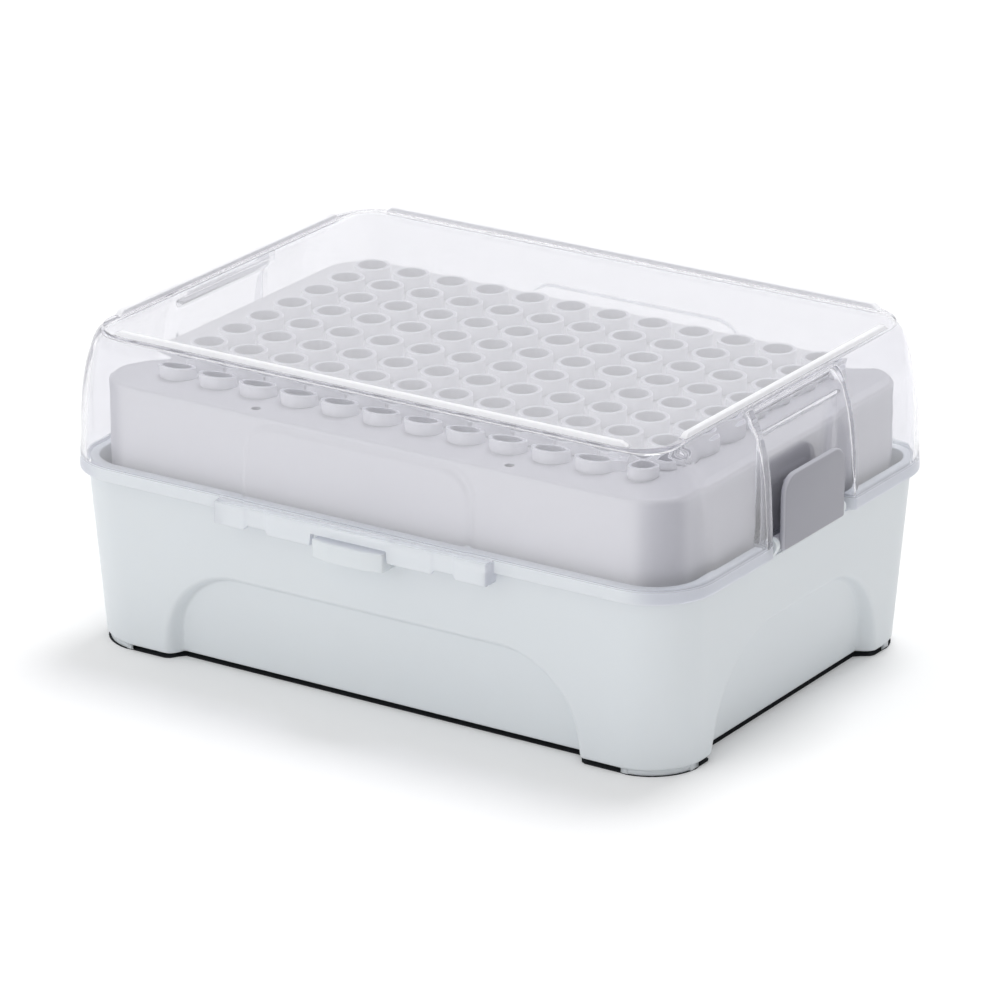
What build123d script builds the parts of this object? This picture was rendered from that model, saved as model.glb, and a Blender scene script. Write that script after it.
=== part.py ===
"""Hinged rack box holding 96 pipette tips under a clear lid.

Millimetres. +X runs along the long side, -Y is the front, +Z is up.
The origin is on the surface that the box stands on, under the middle of the box.
"""

import math
import os

from build123d import *

os.makedirs("parts", exist_ok=True)

# Rack grid
columns = 12
rows = 8
pitch = 9.0

# Tips
tip_length = 50.3
collar_height = 2.9
collar_radius = 3.5
neck_radius = 3.0
shank_radius = 2.45
shank_drop = 18.0
taper_radius = 1.35
taper_drop = 36.0
nose_radius = 0.45
mouth_radius = 2.75
nose_bore_radius = 0.25
tip_wall = 0.5
tip_floor_gap = 1.5

# Tip tray
tray_end_margin = 7.7
tray_side_margin = 6.0
tray_corner = 8.5
tray_height = 21.4
tray_plate = 2.0
tray_skirt = 1.5
tray_edge_round = 1.0
tip_hole_gap = 0.1
vent_radius = 0.9
vent_spacing = 54.4
vent_edge_distance = 3.4

# Base
base_wall = 1.8
floor_thickness = 1.5
pad_height = 1.0
pad_inset = 0.6
pad_length = 9.2
pad_width = 8.1
tray_gap = 1.7
ledge_width = 4.2
ledge_rib = 1.6
ledge_rib_spacing = 30.0
shoulder_above_ledge = 4.0
shoulder_step = 0.3
rim_height = 3.0
foot_draft_x = 1.8
foot_draft_y = 2.3

# Arch recesses: half width at the foot and at the top, rise, corner radius
long_arch_foot = 45.0
long_arch_top = 38.2
long_arch_rise = 18.8
long_arch_round = 17.0
short_arch_foot = 30.5
short_arch_top = 26.5
short_arch_rise = 20.0
short_arch_round = 14.0
arch_foot_depth = 3.0
arch_top_depth = 0.8

# Lid
lid_wall = 1.2
lid_top_thickness = 1.4
lid_clearance_x = 0.7
lid_clearance_y = 1.0
lid_corner = 12.5
lid_edge_gap = 0.2
headroom = 6.1
seat_gap = 0.3
seat_width = 1.2
seat_slope = 2.2
stack_rib_width = 1.4
stack_rib_height = 1.0
stack_rib_inset_x = 5.9
stack_rib_inset_y = 2.5
# Outline of the lid's wall: drop below the top plane, then inset along X and Y
lid_profile = [
    (13.4, 0.56, 0.35),
    (7.7, 1.6, 0.8),
    (5.3, 2.4, 1.1),
    (1.6, 3.8, 1.6),
    (0.0, 5.6, 2.5),
]

# Raised panel on each long wall of the lid
panel_half_length = 24.0
panel_height = 17.5
panel_round = 6.0
panel_rise = 0.4

# Channel in each short wall of the lid, for the side latch
channel_half_width = 13.5
channel_depth = 3.8
channel_flare = 0.35
channel_ledge_drop = 4.8
channel_ledge_rise = 1.6
channel_ledge_depth = 1.7
channel_roof = 0.8

# Front flap of the lid
flap_half_length = 29.3
flap_reach = 2.3
flap_wall = 1.2
flap_height = 4.4
flap_overlap = 2.0
flap_groove_place = 20.2
flap_groove_width = 4.5
flap_groove_depth = 0.5
flap_notch_height = 0.8

# Catch tab on the base, in a cut-out of the flap
tab_half_width = 7.6
tab_front_half_width = 3.6
tab_height = 3.6
tab_reach = 1.2
tab_slant = 1.0
tab_gap = 0.6

# Lid hinge
hinge_place = 35.0
hinge_drop = 2.7
hinge_reach = 1.3
knuckle_radius = 2.2
knuckle_half_length = 6.0
hinge_ear = 2.5
hinge_end_gap = 0.3
hinge_pin_radius = 1.1
hinge_pin_play = 0.08

# Side latches
latch_half_width = 10.8
latch_height = 14.0
latch_wall = 1.2
latch_corner = 3.8
latch_bevel = 0.8
latch_inset = 0.1
latch_barrel_radius = 1.25
latch_axis_rise = 1.5
latch_axis_setback = 2.0
latch_pin_radius = 0.6
latch_pin_play = 0.06
latch_ear = 1.4
latch_ear_radius = 1.4
latch_side_gap = 0.3
latch_nib_half_width = 6.0
latch_nib_drop = 3.0
latch_nib_gap = 0.4
latch_lift = 0.3

# Heights, from the floor up
floor_top = pad_height + floor_thickness
tray_top = floor_top + tip_floor_gap + tip_length - collar_height
ledge_z = tray_top - tray_height
shoulder_z = ledge_z + shoulder_above_ledge
rim_z = shoulder_z + rim_height
lid_edge_z = shoulder_z + lid_edge_gap
lid_top = tray_top + collar_height + headroom + lid_top_thickness

# Half sizes along X and Y, from the tray outward
tray_x = columns * pitch / 2 + tray_end_margin
tray_y = rows * pitch / 2 + tray_side_margin
rim_x = tray_x + tray_gap + base_wall
rim_y = tray_y + tray_gap + base_wall
rim_corner = lid_corner - lid_wall - lid_clearance_x
shoulder_x = rim_x + shoulder_step
shoulder_y = rim_y + shoulder_step
foot_x = shoulder_x - foot_draft_x
foot_y = shoulder_y - foot_draft_y
lid_x = rim_x + lid_clearance_x + lid_wall
lid_y = rim_y + lid_clearance_y + lid_wall

# Side latch, in the plane across its axis
latch_face_x = lid_x - latch_inset
latch_axis_x = latch_face_x - latch_axis_setback
latch_axis_z = shoulder_z + latch_axis_rise
latch_foot_z = shoulder_z + latch_lift
channel_x = lid_x - channel_depth
channel_mouth = channel_half_width + channel_flare * channel_depth

# Hinge axis and front flap
hinge_y = lid_y + hinge_reach
hinge_z = lid_edge_z - hinge_drop
flap_y = lid_y + flap_reach
flap_foot_z = lid_edge_z - flap_overlap
tab_top_z = shoulder_z - lid_edge_gap / 2


def drafted_block(levels):
    """Solid through rounded rectangles, each given as height, half sizes and corner radius."""
    with BuildPart() as block:
        for height, half_x, half_y, corner in levels:
            with BuildSketch(Plane.XY.offset(height)):
                RectangleRounded(2 * half_x, 2 * half_y, corner)
        loft(ruled=True)
    return block.part


def arch_recesses(grow):
    """The four arch recesses as blocks, grown by the given amount into the base."""
    long_lean = math.degrees(math.atan2(foot_draft_y * long_arch_rise / (shoulder_z - pad_height)
                                        + arch_foot_depth - arch_top_depth, long_arch_rise))
    short_lean = math.degrees(math.atan2(foot_draft_x * short_arch_rise / (shoulder_z - pad_height)
                                         + arch_foot_depth - arch_top_depth, short_arch_rise))
    front = Plane.XZ.offset(foot_y - arch_foot_depth).rotated((long_lean, 0, 0))
    right = Plane.YZ.offset(foot_x - arch_foot_depth).rotated((short_lean, 0, 0))
    arches = [
        (front, long_arch_foot, long_arch_top, long_arch_rise, long_arch_round),
        (right, short_arch_foot, short_arch_top, short_arch_rise, short_arch_round),
    ]
    with BuildPart() as recesses:
        for panel, foot, top, rise, corner in arches:
            spread = (foot - top) / rise
            below = pad_height + grow
            with BuildSketch(panel.offset(-grow)) as outline:
                with BuildLine():
                    Polyline(
                        (-foot - spread * (below + pad_height), -below),
                        (-top, pad_height + rise),
                        (top, pad_height + rise),
                        (foot + spread * (below + pad_height), -below),
                        close=True,
                    )
                make_face()
                fillet(outline.vertices().group_by(Axis.Y)[-1], corner)
                if grow:
                    offset(amount=grow)
            extrude(amount=4 * arch_foot_depth)
        mirror(about=Plane.XZ)
        mirror(about=Plane.YZ)
    return recesses.part


def channel_block(grow):
    """Space of the latch channel in the right wall of the lid, grown into the lid."""
    ledge_z_low = lid_top - channel_ledge_drop
    ledge_x = channel_x - channel_ledge_depth
    roof_z = lid_top - channel_roof
    outside = lid_x + 2 * grow + 1
    with BuildPart() as block:
        with BuildSketch(Plane.XZ) as profile:
            with BuildLine():
                Polyline(
                    (outside, lid_edge_z - 1),
                    (channel_x, lid_edge_z - 1),
                    (channel_x, ledge_z_low),
                    (ledge_x, ledge_z_low + channel_ledge_rise),
                    (ledge_x, roof_z),
                    (outside, roof_z),
                    close=True,
                )
            make_face()
            if grow:
                offset(amount=grow, kind=Kind.INTERSECTION)
        extrude(amount=2 * channel_mouth, both=True)
        with BuildSketch(Plane.XY.offset(lid_edge_z - 1 - 2 * grow)) as plan:
            with BuildLine():
                Polyline(
                    (ledge_x, channel_half_width - channel_flare * channel_ledge_depth),
                    (outside, channel_half_width + channel_flare * (outside - channel_x)),
                    (outside, -channel_half_width - channel_flare * (outside - channel_x)),
                    (ledge_x, -channel_half_width + channel_flare * channel_ledge_depth),
                    close=True,
                )
            make_face()
            if grow:
                offset(amount=grow, kind=Kind.INTERSECTION)
        extrude(amount=lid_top, mode=Mode.INTERSECT)
    return block.part


base_body = drafted_block([
    (pad_height, foot_x, foot_y, rim_corner),
    (shoulder_z, shoulder_x, shoulder_y, rim_corner),
])
base_well = drafted_block([
    (floor_top, foot_x - base_wall, foot_y - base_wall, rim_corner - base_wall),
    (shoulder_z, shoulder_x - base_wall, shoulder_y - base_wall, rim_corner - base_wall),
])
arch_cuts = arch_recesses(0)
arch_walls = arch_recesses(base_wall)

# Base: inside space, left clear of the arch walls and of the ribs that carry the tray
with BuildPart() as base_space:
    add(base_well)
    with BuildSketch(Plane.XY.offset(shoulder_z)):
        RectangleRounded(2 * (rim_x - base_wall), 2 * (rim_y - base_wall), rim_corner - base_wall)
    extrude(amount=rim_height)
    add(arch_walls, mode=Mode.SUBTRACT)
    with BuildSketch(Plane.XY.offset(floor_top)):
        with GridLocations(ledge_rib_spacing, 0, 4, 1):
            Rectangle(ledge_rib, 2 * shoulder_y)
        with GridLocations(0, ledge_rib_spacing, 1, 2):
            Rectangle(2 * shoulder_x, ledge_rib)
        Rectangle(
            2 * (shoulder_x - base_wall - ledge_width),
            2 * (shoulder_y - base_wall - ledge_width),
            mode=Mode.SUBTRACT,
        )
    extrude(amount=ledge_z - floor_top, mode=Mode.SUBTRACT)

with BuildPart() as base:
    add(base_body)
    with BuildSketch(Plane.XY.offset(shoulder_z)):
        RectangleRounded(2 * rim_x, 2 * rim_y, rim_corner)
    extrude(amount=rim_height)
    add(arch_cuts, mode=Mode.SUBTRACT)
    add(base_space.part, mode=Mode.SUBTRACT)

    # corner pads that the box stands on
    with BuildSketch():
        RectangleRounded(2 * (foot_x - pad_inset), 2 * (foot_y - pad_inset), rim_corner - pad_inset)
        Rectangle(2 * (foot_x - pad_length), 2 * foot_y, mode=Mode.SUBTRACT)
        Rectangle(2 * foot_x, 2 * (foot_y - pad_width), mode=Mode.SUBTRACT)
    extrude(amount=floor_top)

    # the rim is left out behind the latch channels of the lid
    with BuildSketch(Plane.XY.offset(shoulder_z)):
        Rectangle(2 * lid_x, 2 * (channel_mouth + lid_wall + seat_gap))
    extrude(amount=rim_height, mode=Mode.SUBTRACT)

    # catch tab in front
    with BuildSketch(Plane.XY.offset(tab_top_z)):
        with BuildLine():
            Polyline(
                (-tab_half_width, base_wall - shoulder_y),
                (-tab_half_width, tab_slant - flap_y - tab_reach),
                (-tab_front_half_width, -flap_y - tab_reach),
                (tab_front_half_width, -flap_y - tab_reach),
                (tab_half_width, tab_slant - flap_y - tab_reach),
                (tab_half_width, base_wall - shoulder_y),
                close=True,
            )
        make_face()
    extrude(amount=-tab_height)

    # hinge ears at the back, bored for the pins of the lid
    ear_middle = knuckle_half_length + hinge_end_gap + hinge_ear / 2
    for hinge_x in (-hinge_place, hinge_place):
        for ear_x in (hinge_x - ear_middle, hinge_x + ear_middle):
            with BuildSketch(Plane.YZ.offset(ear_x)):
                with Locations((hinge_y, hinge_z)):
                    Circle(knuckle_radius)
                with Locations((shoulder_y - base_wall / 2, hinge_z - knuckle_radius / 2)):
                    Rectangle(base_wall / 2, 3 * knuckle_radius)
                make_hull()
            extrude(amount=hinge_ear / 2, both=True)
            with BuildSketch(Plane.YZ.offset(ear_x)):
                with Locations((hinge_y, hinge_z)):
                    Circle(hinge_pin_radius + hinge_pin_play)
            extrude(amount=hinge_ear / 2, both=True, mode=Mode.SUBTRACT)

    # scoop under each side latch, so that it can tip out, and its two bored ears
    swing = math.hypot(latch_axis_setback, latch_axis_z - latch_foot_z - latch_bevel)
    ear_y = latch_half_width + latch_side_gap + latch_ear / 2
    for side in (-1, 1):
        with BuildSketch(Plane.XZ):
            with Locations((side * latch_axis_x, latch_axis_z)):
                Circle(swing + latch_side_gap)
        extrude(amount=latch_half_width + latch_side_gap, both=True, mode=Mode.SUBTRACT)
        for ear_place in (-ear_y, ear_y):
            with BuildSketch(Plane.XZ.offset(ear_place)):
                with Locations((side * latch_axis_x, latch_axis_z)):
                    Circle(latch_ear_radius)
                with Locations((side * (shoulder_x - base_wall / 2), shoulder_z - latch_ear_radius)):
                    Rectangle(base_wall / 2, latch_ear_radius)
                make_hull()
            extrude(amount=latch_ear / 2, both=True)
            with BuildSketch(Plane.XZ.offset(ear_place)):
                with Locations((side * latch_axis_x, latch_axis_z)):
                    Circle(latch_pin_radius + latch_pin_play)
            extrude(amount=latch_ear / 2, both=True, mode=Mode.SUBTRACT)

base.part.label = "base"
export_step(base.part, "parts/base.step")


lid_body = drafted_block([(lid_edge_z, lid_x, lid_y, lid_corner)] + [
    (lid_top - drop, lid_x - inset_x, lid_y - inset_y, lid_corner - inset_x / 2)
    for drop, inset_x, inset_y in lid_profile
])
seat = lid_wall + seat_width
seat_z = rim_z + seat_gap
lid_skirt_space = drafted_block([
    (lid_edge_z - 1, lid_x - lid_wall, lid_y - lid_wall, lid_corner - lid_wall),
    (seat_z, lid_x - lid_wall, lid_y - lid_wall, lid_corner - lid_wall),
])
lid_upper_space = drafted_block([
    (seat_z, lid_x - seat, lid_y - seat, lid_corner - seat),
    (seat_z + seat_slope, lid_x - lid_wall, lid_y - lid_wall, lid_corner - lid_wall),
] + [
    (lid_top - lid_top_thickness - drop, lid_x - lid_wall - inset_x,
     lid_y - lid_wall - inset_y, lid_corner - lid_wall - inset_x / 2)
    for drop, inset_x, inset_y in lid_profile
])
channel_cut = channel_block(0)
channel_walls = channel_block(lid_wall)

# Lid: inside space, with the seat that rests over the rim and clear of the channels
with BuildPart() as lid_space:
    add(lid_skirt_space)
    add(lid_upper_space)
    add(channel_walls, mode=Mode.SUBTRACT)
    mirror(channel_walls, about=Plane.YZ, mode=Mode.SUBTRACT)

with BuildPart() as lid:
    add(lid_body)

    # raised panel on each long wall
    with BuildSketch(Plane.XZ.offset(lid_y + panel_rise)) as panel:
        with Locations((0, lid_edge_z + panel_height / 2)):
            Rectangle(2 * panel_half_length, panel_height)
        fillet(panel.vertices().group_by(Axis.Y)[-1], panel_round)
    extrude(amount=-panel_rise - lid_wall)
    mirror(about=Plane.XZ)

    # stacking ribs along the four straight edges of the top
    with BuildSketch(Plane.XY.offset(lid_top - channel_roof)):
        with GridLocations(0, 2 * (lid_y - stack_rib_inset_y) - stack_rib_width, 1, 2):
            Rectangle(2 * (lid_x - lid_corner), stack_rib_width)
        with GridLocations(2 * (lid_x - stack_rib_inset_x) - stack_rib_width, 0, 2, 1):
            Rectangle(stack_rib_width, 2 * (lid_y - lid_corner))
    extrude(amount=channel_roof + stack_rib_height)

    add(channel_cut, mode=Mode.SUBTRACT)
    mirror(channel_cut, about=Plane.YZ, mode=Mode.SUBTRACT)
    add(lid_space.part, mode=Mode.SUBTRACT)

    # front flap: a lip that stands out and hangs over the shoulder of the base
    with BuildSketch(Plane.YZ):
        with BuildLine():
            Polyline(
                (lid_wall / 2 - lid_y, flap_foot_z + flap_height),
                (-flap_y, flap_foot_z + flap_height),
                (-flap_y, flap_foot_z),
                (flap_wall - flap_y, flap_foot_z),
                (flap_wall - flap_y, flap_foot_z + flap_height - flap_wall),
                (lid_wall / 2 - lid_y, flap_foot_z + flap_height - flap_wall),
                close=True,
            )
        make_face()
    extrude(amount=flap_half_length, both=True)
    end_reach = flap_reach + lid_wall / 4
    with BuildSketch(Plane.XZ.offset(flap_y)):
        with Locations((0, flap_foot_z + flap_height / 2)):
            with GridLocations(2 * flap_half_length - flap_wall, 0, 2, 1):
                Rectangle(flap_wall, flap_height)
    extrude(amount=-end_reach)

    # cut-out of the flap round the catch tab
    with BuildSketch(Plane.XZ.offset(flap_y)):
        cutout_height = tab_top_z + tab_gap - flap_foot_z
        with Locations((0, flap_foot_z + cutout_height / 2)):
            Rectangle(2 * (tab_half_width + tab_gap), cutout_height)
    extrude(amount=-flap_wall, mode=Mode.SUBTRACT)

    # two shallow grooves down the flap, each ending in a notch in its lower edge
    with BuildSketch(Plane.XZ.offset(flap_y)):
        with Locations((0, flap_foot_z + flap_height / 2)):
            with GridLocations(2 * flap_groove_place, 0, 2, 1):
                Rectangle(flap_groove_width, flap_height)
    extrude(amount=-flap_groove_depth, mode=Mode.SUBTRACT)
    with BuildSketch(Plane.XZ.offset(flap_y)):
        with Locations((0, flap_foot_z + flap_notch_height / 2)):
            with GridLocations(2 * flap_groove_place, 0, 2, 1):
                Rectangle(flap_groove_width, flap_notch_height)
    extrude(amount=-flap_wall, mode=Mode.SUBTRACT)

    # hinge arms at the back, each with a knuckle and a stub pin on either side
    for hinge_x in (-hinge_place, hinge_place):
        with BuildSketch(Plane.YZ.offset(hinge_x)):
            with Locations((hinge_y, hinge_z)):
                Circle(knuckle_radius)
            with Locations((lid_y - lid_wall / 2, lid_edge_z + knuckle_radius)):
                Rectangle(lid_wall / 2, 2 * knuckle_radius)
            make_hull()
        extrude(amount=knuckle_half_length, both=True)
        with BuildSketch(Plane.YZ.offset(hinge_x)):
            with Locations((hinge_y, hinge_z)):
                Circle(hinge_pin_radius)
        extrude(amount=knuckle_half_length + hinge_end_gap + hinge_ear, both=True)

lid.part.label = "lid"
export_step(lid.part, "parts/lid.step")


# Tip tray: plate with the 96 holes, and a skirt down to the ribs of the base
with BuildPart() as tip_tray:
    with BuildSketch(Plane.XY.offset(ledge_z)):
        RectangleRounded(2 * tray_x, 2 * tray_y, tray_corner)
    extrude(amount=tray_height)
    fillet(tip_tray.edges().group_by(Axis.Z)[-1], tray_edge_round)
    with BuildSketch(Plane.XY.offset(ledge_z)):
        RectangleRounded(2 * (tray_x - tray_skirt), 2 * (tray_y - tray_skirt), tray_corner - tray_skirt)
    extrude(amount=tray_height - tray_plate, mode=Mode.SUBTRACT)
    with BuildSketch(Plane.XY.offset(tray_top)):
        with GridLocations(pitch, pitch, columns, rows):
            Circle(neck_radius + tip_hole_gap)
        with Locations((0, vent_edge_distance - tray_y)):
            with GridLocations(vent_spacing, 0, 2, 1):
                Circle(vent_radius)
    extrude(amount=-tray_plate, mode=Mode.SUBTRACT)

tip_tray.part.label = "tip_tray"
export_step(tip_tray.part, "parts/tip_tray.step")


def tip_profile_points(radius_cut):
    """Radius and height points down the outside of a tip, each radius cut by the given amount."""
    return [
        (neck_radius - radius_cut, tray_top),
        (shank_radius - radius_cut, tray_top - shank_drop),
        (taper_radius - radius_cut, tray_top - taper_drop),
    ]


# Tips: a collar on the tray, a drafted shank and a long fine nose, hollow all through
tip_foot = tray_top + collar_height - tip_length
for column in range(columns):
    column_x = (column - (columns - 1) / 2) * pitch
    with BuildPart() as tip_column:
        with BuildSketch(Plane.XZ.offset(-pitch * (rows - 1) / 2)) as half_section:
            with BuildLine():
                Polyline(
                    (collar_radius, tray_top),
                    *tip_profile_points(0),
                    (nose_radius, tip_foot),
                    (nose_bore_radius, tip_foot),
                    *reversed(tip_profile_points(tip_wall)),
                    (mouth_radius, tray_top + collar_height),
                    (collar_radius, tray_top + collar_height),
                    close=True,
                )
            make_face()
        revolve(axis=Axis((0, pitch * (rows - 1) / 2, 0), (0, 0, 1)))
    with BuildPart() as tip_row:
        with Locations(*[(column_x, -pitch * row, 0) for row in range(rows)]):
            add(tip_column.part)
    name = f"tip_column_{column + 1:02d}"
    tip_row.part.label = name
    export_step(tip_row.part, f"parts/{name}.step")


# Side latch: a pad on a barrel, with a stub pin at each end and a nib behind the pad
with BuildPart() as right_latch:
    with BuildSketch(Plane.YZ.offset(latch_face_x)) as pad:
        with Locations((0, latch_foot_z + latch_height / 2)):
            Rectangle(2 * latch_half_width, latch_height)
        fillet(pad.vertices().group_by(Axis.Y)[-1], latch_corner)
    extrude(amount=-latch_wall)
    chamfer(right_latch.edges().filter_by(Axis.Y).group_by(Axis.Z)[0].sort_by(Axis.X)[-1], latch_bevel)
    with BuildSketch(Plane.XZ):
        with Locations((latch_axis_x, latch_axis_z)):
            Circle(latch_barrel_radius)
        with Locations((latch_axis_x + latch_barrel_radius / 2, latch_axis_z)):
            Rectangle(latch_barrel_radius, 2 * (latch_axis_z - latch_foot_z))
    extrude(amount=latch_half_width, both=True)
    with BuildSketch(Plane.XZ):
        with Locations((latch_axis_x, latch_axis_z)):
            Circle(latch_pin_radius)
    extrude(amount=latch_half_width + latch_side_gap + latch_ear, both=True)
    nib_reach = latch_face_x - latch_wall - channel_x - latch_nib_gap
    with BuildSketch(Plane.YZ.offset(latch_face_x - latch_wall)):
        with Locations((0, latch_foot_z + latch_height - latch_nib_drop)):
            Rectangle(2 * latch_nib_half_width, latch_wall)
    extrude(amount=-nib_reach)

right_latch.part.label = "right_latch"
export_step(right_latch.part, "parts/right_latch.step")

with BuildPart() as left_latch:
    mirror(right_latch.part, about=Plane.YZ)

left_latch.part.label = "left_latch"
export_step(left_latch.part, "parts/left_latch.step")
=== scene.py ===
import math

import bpy
import numpy as np
from mathutils import Matrix


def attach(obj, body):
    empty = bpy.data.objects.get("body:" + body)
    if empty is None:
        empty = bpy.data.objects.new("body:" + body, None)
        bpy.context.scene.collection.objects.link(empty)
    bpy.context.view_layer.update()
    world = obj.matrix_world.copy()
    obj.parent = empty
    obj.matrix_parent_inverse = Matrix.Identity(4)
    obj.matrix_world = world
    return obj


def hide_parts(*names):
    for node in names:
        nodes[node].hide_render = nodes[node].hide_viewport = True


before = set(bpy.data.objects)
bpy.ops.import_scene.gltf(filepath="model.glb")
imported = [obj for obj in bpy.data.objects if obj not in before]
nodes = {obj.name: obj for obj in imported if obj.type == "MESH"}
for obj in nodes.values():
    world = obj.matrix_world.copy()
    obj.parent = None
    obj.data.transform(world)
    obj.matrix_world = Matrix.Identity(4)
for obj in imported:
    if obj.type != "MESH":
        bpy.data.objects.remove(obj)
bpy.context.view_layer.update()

mm = 0.001
print("frame loaded:", len(nodes), "pieces")

# settings that many nodes share
smooth = {"interpolation_type": "SMOOTHSTEP"}
colourMix = {"data_type": "RGBA"}
absolute = {"operation": "ABSOLUTE"}
product = {"operation": "MULTIPLY"}
larger = {"operation": "MAXIMUM"}
smaller = {"operation": "MINIMUM"}


def linearColour(hexText):
    # sRGB hex to linear light, with alpha 1
    value = [int(hexText[i:i + 2], 16) / 255 for i in (0, 2, 4)]
    return [c / 12.92 if c <= 0.04045 else ((c + 0.055) / 1.055) ** 2.4 for c in value] + [1.0]


def addNode(tree, kind, settings=None, inputs=None, links=None):
    # adds one node, sets its properties and sockets, and links (socket, source node, source socket)
    node = tree.nodes.new(kind)
    for key, value in (settings or {}).items():
        setattr(node, key, value)
    for key, value in (inputs or {}).items():
        node.inputs[key].default_value = value
    for key, source, output in (links or []):
        tree.links.new(source.outputs[output], node.inputs[key])
    return node


def newMaterial(name):
    material = bpy.data.materials.new(name)
    material.use_nodes = True
    material.node_tree.nodes.clear()
    return material, material.node_tree


# lengths in mm: grain and cloud are the sizes of their spots, and scatter is how far light spreads inside
moulding = dict(ior=1.49, grain=0.35, grainDetail=2.0, grainDepth=0.02, cloudDetail=1.0,
                scatter=1.5, scatterTint=(1.0, 0.9, 0.8),
                deckFade=0.5, cornerStart=0.1, cornerFull=0.45, edgeStart=0.97, edgeFull=0.7)
plastics = {
    "base": dict(moulding, colour="E0E5E8", deep="DCE1E5", cloud=40, roughness=0.42, bump=0.15, glow=0.1),
    # the tray's deck and upright corners are given painted shade
    "tray": dict(moulding, colour="E7E7E8", deep="E3E3E5", cloud=30, roughness=0.45, bump=0.02, glow=0.0,
                 deck=51.3, paintedDeckShade="D4D4D6", paintedCornerShade="D0D0D4"),
    # the latch's edges are given a painted highlight
    "latch": dict(moulding, colour="9C9CA5", deep="9797A0", cloud=20, roughness=0.4, bump=0.15, glow=0.0,
                  paintedEdgeHighlight="B6B6BE"),
}


def mouldedPlastic(name, look):
    # injection-moulded polypropylene: satin, with a faint spark-eroded grain left by the mould
    material, tree = newMaterial(name)
    place = addNode(tree, "ShaderNodeTexCoord")
    grain, cloud = (
        addNode(tree, "ShaderNodeTexNoise",
                inputs={"Scale": 1 / (look[pattern] * mm), "Detail": look[pattern + "Detail"]},
                links=[("Vector", place, "Object")])
        for pattern in ("grain", "cloud"))
    tone = addNode(tree, "ShaderNodeMix", colourMix,
                   {"A": linearColour(look["colour"]), "B": linearColour(look["deep"])},
                   [("Factor", cloud, "Fac")])
    layers = []
    if "paintedDeckShade" in look:
        # painted shade: the deck is drawn darker than the walls, by height, over a short fade below the
        # deck's level
        axes = addNode(tree, "ShaderNodeSeparateXYZ", links=[("Vector", place, "Object")])
        deck = addNode(tree, "ShaderNodeMapRange", smooth,
                       {"From Min": (look["deck"] - look["deckFade"]) * mm, "From Max": look["deck"] * mm},
                       [("Value", axes, "Z")])
        layers.append(("paintedDeckShade", deck))
    if "paintedCornerShade" in look:
        # painted shade too on the upright corners: by the product of the normal's X and Y, which peaks
        # halfway round
        facing = addNode(tree, "ShaderNodeSeparateXYZ", links=[("Vector", place, "Normal")])
        turned = addNode(tree, "ShaderNodeMath", product, links=[(0, facing, "X"), (1, facing, "Y")])
        halfway = addNode(tree, "ShaderNodeMath", absolute, links=[(0, turned, "Value")])
        corner = addNode(tree, "ShaderNodeMapRange", smooth,
                         {"From Min": look["cornerStart"], "From Max": look["cornerFull"]},
                         [("Value", halfway, "Value")])
        layers.append(("paintedCornerShade", corner))
    if "paintedEdgeHighlight" in look:
        # painted highlight: the edges are drawn paler wherever the surface turns away from the broad outer
        # face
        facing = addNode(tree, "ShaderNodeSeparateXYZ", links=[("Vector", place, "Normal")])
        flatness = addNode(tree, "ShaderNodeMath", absolute, links=[(0, facing, "X")])
        edge = addNode(tree, "ShaderNodeMapRange", smooth,
                       {"From Min": look["edgeStart"], "From Max": look["edgeFull"]},
                       [("Value", flatness, "Value")])
        layers.append(("paintedEdgeHighlight", edge))
    for colour, amount in layers:
        tone = addNode(tree, "ShaderNodeMix", colourMix, {"B": linearColour(look[colour])},
                       [("Factor", amount, "Result"), ("A", tone, "Result")])
    bump = addNode(tree, "ShaderNodeBump",
                   inputs={"Strength": look["bump"], "Distance": look["grainDepth"] * mm},
                   links=[("Height", grain, "Fac")])
    shader = addNode(tree, "ShaderNodeBsdfPrincipled",
                     inputs={"Roughness": look["roughness"], "IOR": look["ior"],
                             "Subsurface Weight": look["glow"], "Subsurface Scale": look["scatter"] * mm,
                             "Subsurface Radius": look["scatterTint"]},
                     links=[("Base Color", tone, "Result"), ("Normal", bump, "Normal")])
    addNode(tree, "ShaderNodeOutputMaterial", links=[("Surface", shader, "BSDF")])
    return material


# zones start at a height, or for `side` at a distance from the middle, and come in over their fade, in mm.
# clear is the share of light that is refracted, and a shade is the tint of light that passes straight through
# the skirt's side colour is painted shade on its short sides
lidLook = dict(colour="F6F6F9", skirtColour="EFF3F6", paintedSkirtSideShade="DCDFE7",
               wallShade="FAFAFC", sideShade="ECECEF", roofShade="EBEBEE", skirtShade="E2E2E6",
               skirt=36.9, skirtFade=-0.6, crest=61.84, crestFade=0.15,
               roof=59.0, roofFade=1.5, side=56.0, sideFade=6.0, turnStart=0.1, turnFull=0.6,
               clear=0.89, sideClear=0.97, skirtClear=0.4, crestClear=0.2,
               roughness=0.02, mattRoughness=0.35, ior=1.49, bounces=1.5)


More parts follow.
